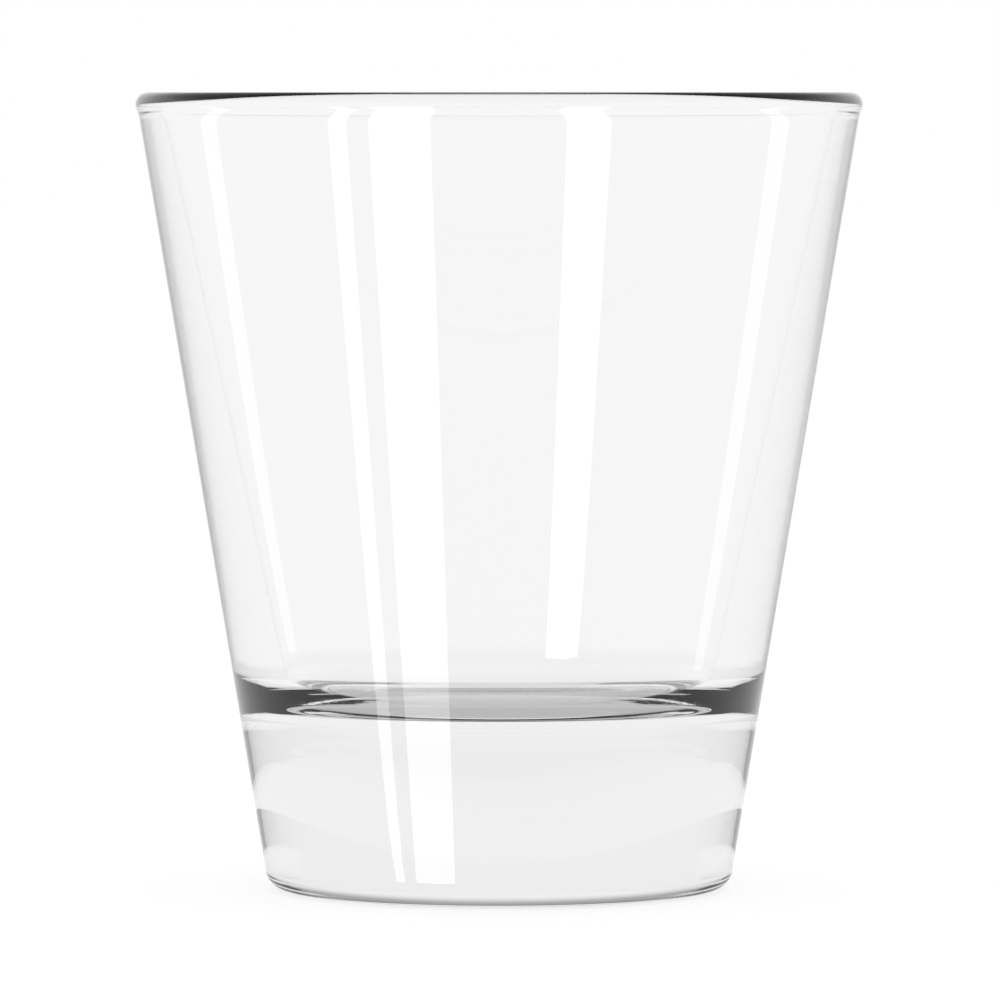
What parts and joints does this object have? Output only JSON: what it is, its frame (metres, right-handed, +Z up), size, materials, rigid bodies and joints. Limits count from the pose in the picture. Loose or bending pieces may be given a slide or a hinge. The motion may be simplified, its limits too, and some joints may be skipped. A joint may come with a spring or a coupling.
{
  "type": "rocks glass",
  "caption": "Low tapered tumbler of clear moulded glass with a heavy solid base, a thick wall and a rounded lip, for serving a drink over ice.",
  "frame": {"origin": "centre of the circle that the glass stands on", "axes": "+Z up along the axis of the glass; it is round, so +X and +Y are any two level directions"},
  "size_m": [0.088, 0.088, 0.0965],
  "materials": {
    "glass": "clear colourless soda-lime glass, fire polished"
  },
  "bodies": {
    "root": {"base": "glass", "wall": "glass", "rim": "glass"}
  },
  "joints": []
}
